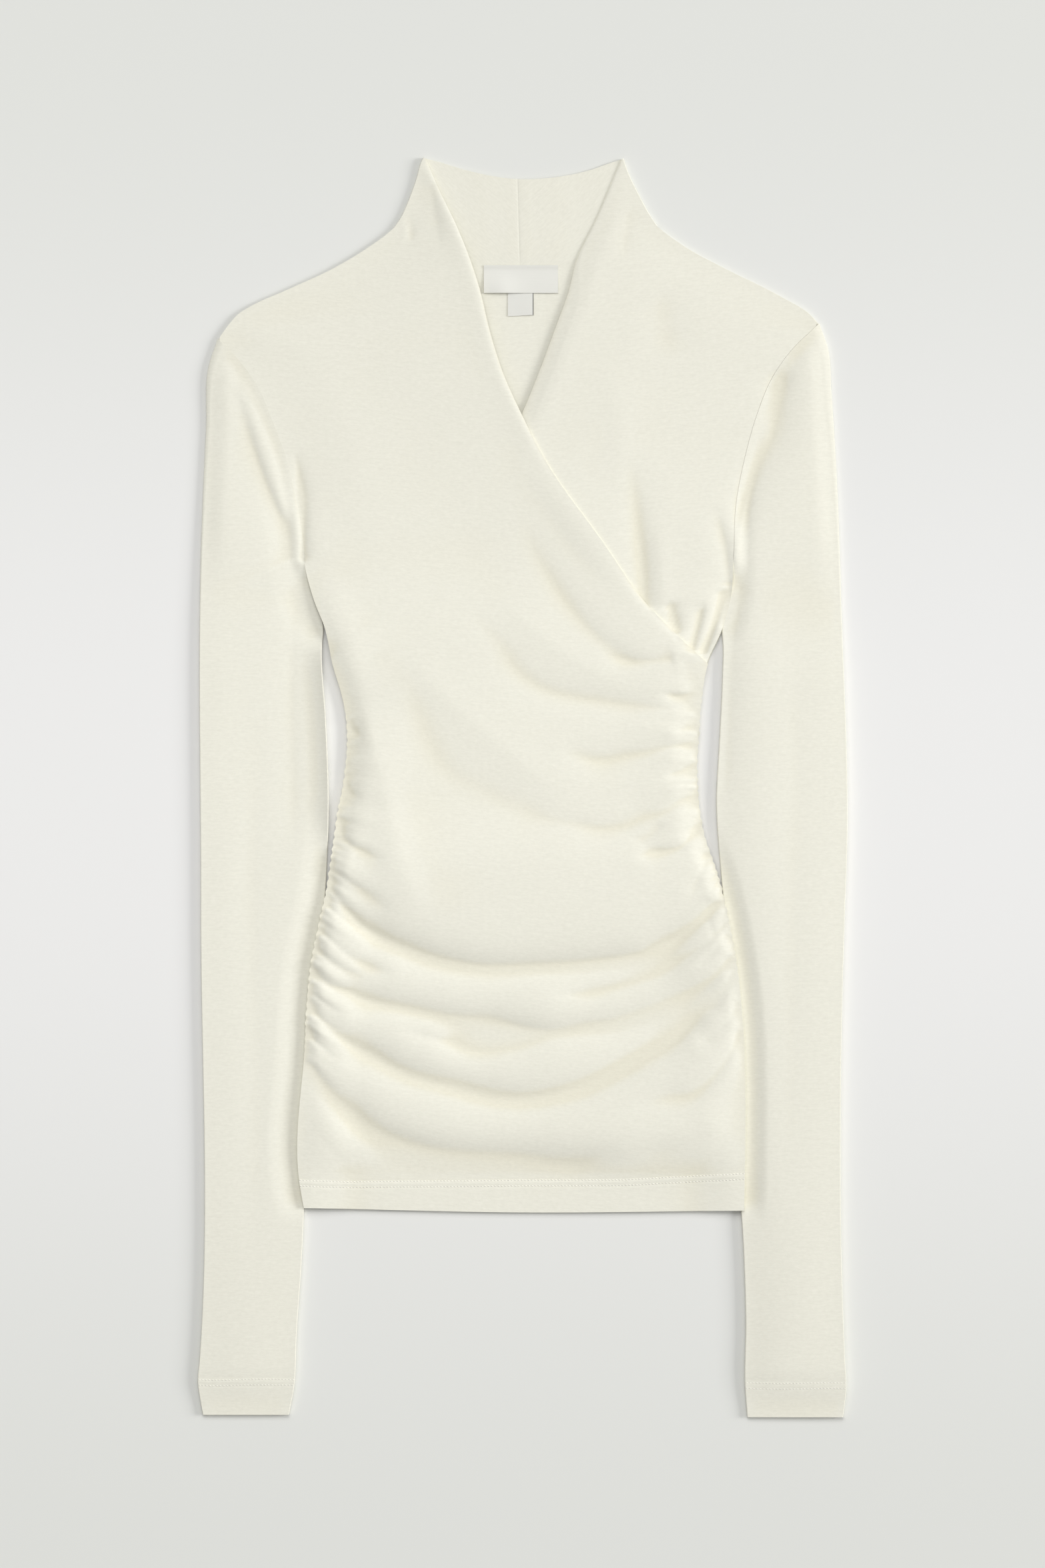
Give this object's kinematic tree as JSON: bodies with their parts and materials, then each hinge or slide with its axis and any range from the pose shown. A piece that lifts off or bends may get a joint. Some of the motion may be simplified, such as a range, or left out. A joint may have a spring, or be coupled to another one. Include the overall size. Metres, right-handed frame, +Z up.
{
  "type": "wrap top",
  "caption": "Long-sleeved wrap-effect top laid flat: crossed fronts with grown-on stand collar halves, back panel, set-in sleeves, bare neck label.",
  "frame": {"origin": "on the surface it lies on, under the middle of the top's bounding box", "axes": "+Y from the hem to the collar, +X from the wearer's right to the wearer's left, +Z up off the surface"},
  "size_m": [0.3893, 0.7552, 0.0091],
  "materials": {
    "cloth": "fine matt cream jersey",
    "label": "white satin ribbon",
    "tab": "white satin ribbon"
  },
  "bodies": {
    "root": {"back_panel": "cloth", "front_left_under": "cloth", "front_right_over": "cloth", "sleeve_left": "cloth", "sleeve_right": "cloth", "neck_label": "label", "size_tab": "tab"}
  },
  "joints": []
}
